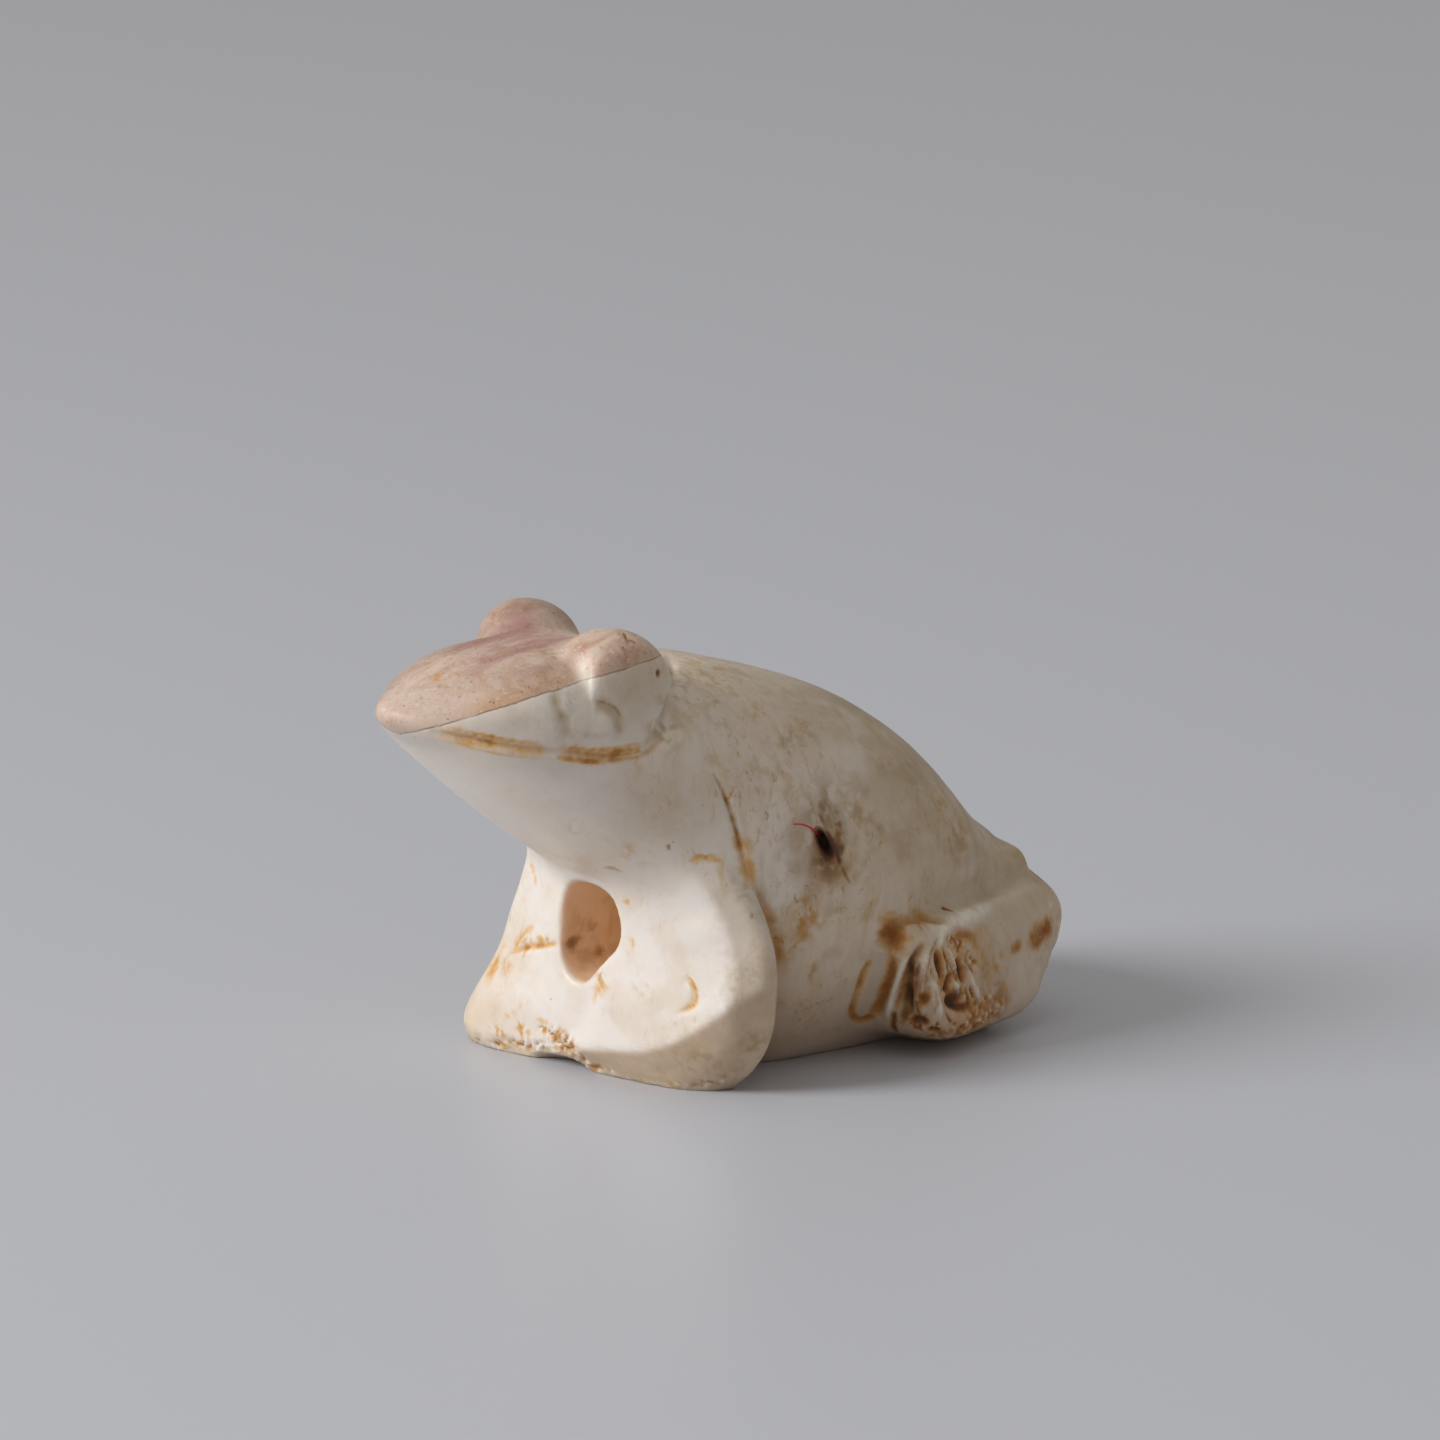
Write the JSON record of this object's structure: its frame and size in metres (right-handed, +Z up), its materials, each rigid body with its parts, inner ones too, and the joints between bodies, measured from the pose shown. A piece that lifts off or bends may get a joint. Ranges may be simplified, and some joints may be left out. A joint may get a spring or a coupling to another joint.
{
  "type": "carved frog figurine",
  "caption": "Small solid carved frog that sits on a flat underside, with raised eyes, forelegs joined as one upright plate with a D-shaped opening, and folded hind legs.",
  "frame": {"origin": "the middle of the bounding box in X and Y, on the plane of the flat underside", "axes": "+Z up, the frog looks along -Y, its left side is +X"},
  "size_m": [0.0138, 0.0264, 0.0158],
  "materials": {
    "carved_shell": "polished creamy shell with a soft gloss, pinkish brown on top of the head, ochre residue in the grooves"
  },
  "bodies": {
    "root": {"frog_figurine": "carved_shell"}
  },
  "joints": []
}
